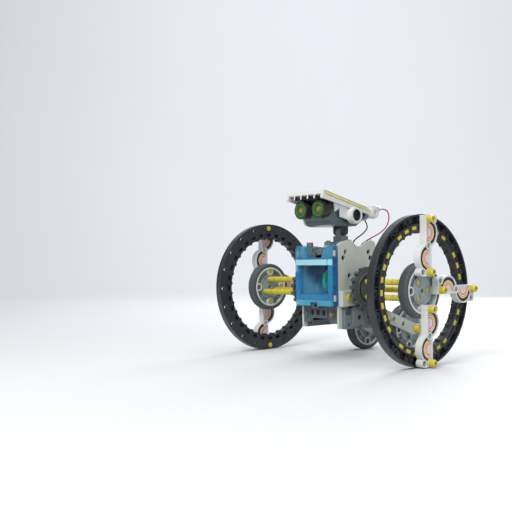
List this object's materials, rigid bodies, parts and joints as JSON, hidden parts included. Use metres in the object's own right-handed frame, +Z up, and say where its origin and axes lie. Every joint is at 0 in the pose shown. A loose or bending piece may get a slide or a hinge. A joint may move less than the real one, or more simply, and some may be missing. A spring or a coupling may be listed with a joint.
{
  "type": "solar robot",
  "caption": "Toy robot: clear-fronted gearbox turning two large ring wheels on rods, small tail wheels behind, solar panel head with wires on a tilting neck.",
  "frame": {"origin": "on the ground, midway between the two ring wheels and straight under the main axle", "axes": "+X along the main axle towards the robot's left side, -Y towards the robot's front, +Z up"},
  "size_m": [0.2096, 0.147, 0.1431],
  "materials": {
    "ivory": "satin moulded ABS",
    "white": "satin moulded ABS",
    "light_grey": "satin moulded ABS",
    "mid_grey": "satin moulded ABS",
    "charcoal": "satin moulded ABS",
    "black": "gloss",
    "yellow": "satin moulded ABS",
    "clear_blue": "transparent gloss",
    "green": "gloss",
    "blue": "gloss",
    "steel": "bright",
    "brass": "bright",
    "tyre": "matt",
    "jaw_grey": "satin",
    "cream_board": "satin laminate",
    "cells": "glossy cell",
    "lens_green": "gloss",
    "lens_orange": "gloss",
    "print": "printed film",
    "wire_red": "vinyl",
    "wire_black": "vinyl"
  },
  "bodies": {
    "gearbox": {"side_plate_right": "ivory", "side_plate_left": "ivory", "core": "ivory", "top_deck": "mid_grey", "front_cover": "clear_blue", "lower_frame": "mid_grey", "motor_can": "steel", "motor_cap": "mid_grey", "idler_pin": "steel", "frame_screws": "brass", "tail_bracket": "mid_grey", "tail_plates": "light_grey", "tail_arm_right": "ivory", "tail_arm_left": "ivory", "tail_axle": "steel", "tail_pegs": "yellow", "frame_pegs": "yellow", "neck_post": "mid_grey", "wire_red": "wire_red", "wire_black": "wire_black"},
    "drive": {"drive_axle": "steel", "output_gear": "blue", "drive_gear_right": "charcoal", "drive_gear_left": "charcoal", "rods_right": "yellow", "rods_left": "yellow", "hub_right": "light_grey", "hub_left": "light_grey", "tyre_right": "tyre", "tyre_left": "tyre", "ring_right": "charcoal", "ring_left": "charcoal", "ring_blocks_right": "yellow", "ring_blocks_left": "yellow", "arm_right_top": "white", "arm_right_rear": "white", "arm_right_bottom": "white", "arm_left_top": "white", "arm_left_rear": "white", "arm_left_bottom": "white", "arm_discs_right": "print", "arm_discs_left": "print", "arm_pegs_right": "yellow", "arm_pegs_left": "yellow"},
    "idler": {"idler_gear": "green"},
    "motor_shaft": {"motor_pinion": "steel"},
    "tail_wheel_right": {"tail_hub_right": "light_grey", "tail_tyre_right": "tyre"},
    "tail_wheel_left": {"tail_hub_left": "light_grey", "tail_tyre_left": "tyre"},
    "head": {"neck_knuckle": "charcoal", "head_shell": "jaw_grey", "visor": "white", "panel_board": "cream_board", "solar_cells": "cells", "eye_barrels": "black", "eye_lenses": "lens_green", "eye_cores": "lens_orange", "side_caps": "white", "connector": "white"}
  },
  "joints": [
    {"name": "drive_spin", "type": "hinge", "parent": "gearbox", "child": "drive", "pos_m": [0, 0, 0.06], "axis": [1, 0, 0], "continuous": true},
    {"name": "idler_spin", "type": "hinge", "parent": "gearbox", "child": "idler", "pos_m": [0, -0.012, 0.0672], "axis": [1, 0, 0], "continuous": true},
    {"name": "motor_spin", "type": "hinge", "parent": "gearbox", "child": "motor_shaft", "pos_m": [0, -0.0082, 0.0794], "axis": [1, 0, 0], "continuous": true},
    {"name": "tail_right_spin", "type": "hinge", "parent": "gearbox", "child": "tail_wheel_right", "pos_m": [0, 0.065, 0.022], "axis": [1, 0, 0], "continuous": true},
    {"name": "tail_left_spin", "type": "hinge", "parent": "gearbox", "child": "tail_wheel_left", "pos_m": [0, 0.065, 0.022], "axis": [1, 0, 0], "continuous": true},
    {"name": "head_tilt", "type": "hinge", "parent": "gearbox", "child": "head", "pos_m": [0, 0.007, 0.11], "axis": [1, 0, 0], "range_deg": [-18, 22], "deforming": ["wire_red", "wire_black"]}
  ],
  "couplings": [
    {"joint": "idler_spin", "follows": "drive_spin", "ratio": -2.5},
    {"joint": "motor_spin", "follows": "drive_spin", "ratio": 7.5}
  ]
}
